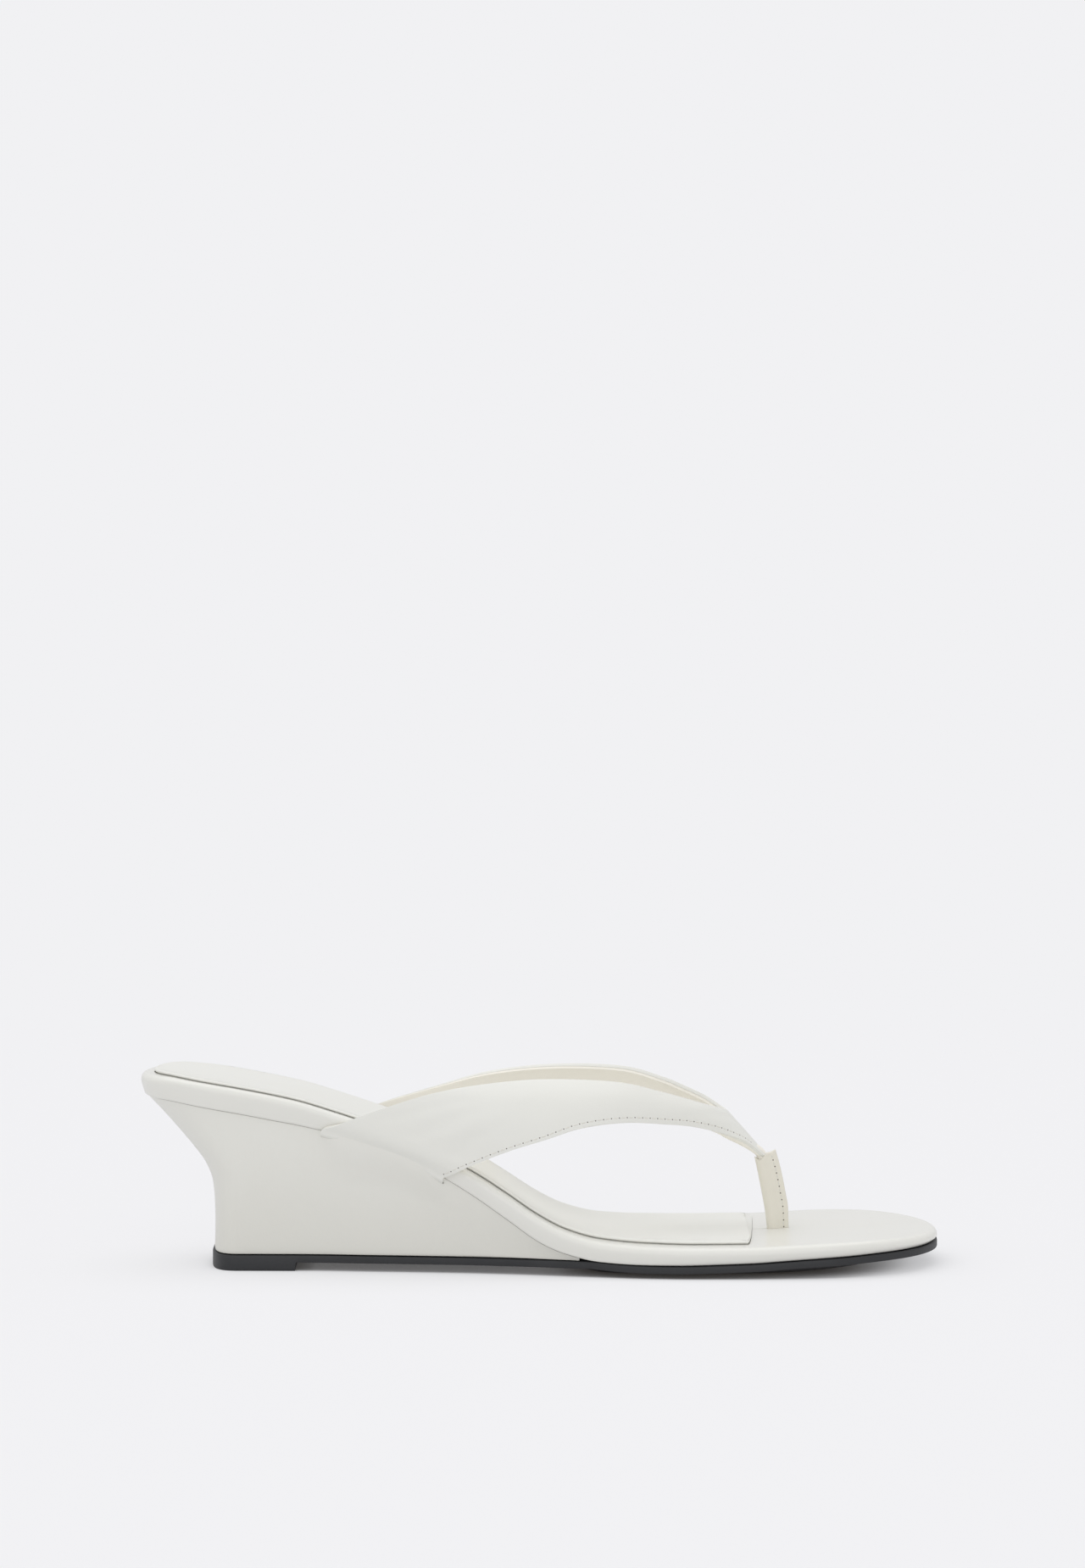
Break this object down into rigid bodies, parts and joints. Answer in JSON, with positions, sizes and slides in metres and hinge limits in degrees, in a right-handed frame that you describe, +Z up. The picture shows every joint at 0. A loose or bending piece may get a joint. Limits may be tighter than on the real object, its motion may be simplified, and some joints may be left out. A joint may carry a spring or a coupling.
{
  "type": "toe post wedge sandal",
  "caption": "Right-foot toe post sandal with a leather V strap, padded sock, rolled footbed edge, low leather covered wedge and a moulded rubber outsole",
  "frame": {"origin": "On the floor, at the middle of the shoe's length and width", "axes": "+X towards the toe, +Y towards the big toe side of a right foot, +Z up from the floor"},
  "size_m": [0.239, 0.0834, 0.0587],
  "materials": {
    "black_rubber": "satin moulded rubber",
    "wedge_leather": "smooth semi-gloss cream leather",
    "footbed_leather": "glossy cream leather, wrapped over a rolled edge",
    "sock_leather": "smooth cream lining leather over thin padding",
    "strap_leather": "smooth cream leather, stitched along its lower edge",
    "post_leather": "folded and stitched warm cream leather"
  },
  "bodies": {
    "root": {"outsole": "black_rubber", "wedge": "wedge_leather", "footbed": "footbed_leather", "insole_pad": "sock_leather", "upper": "strap_leather", "toe_post": "post_leather"}
  },
  "joints": []
}
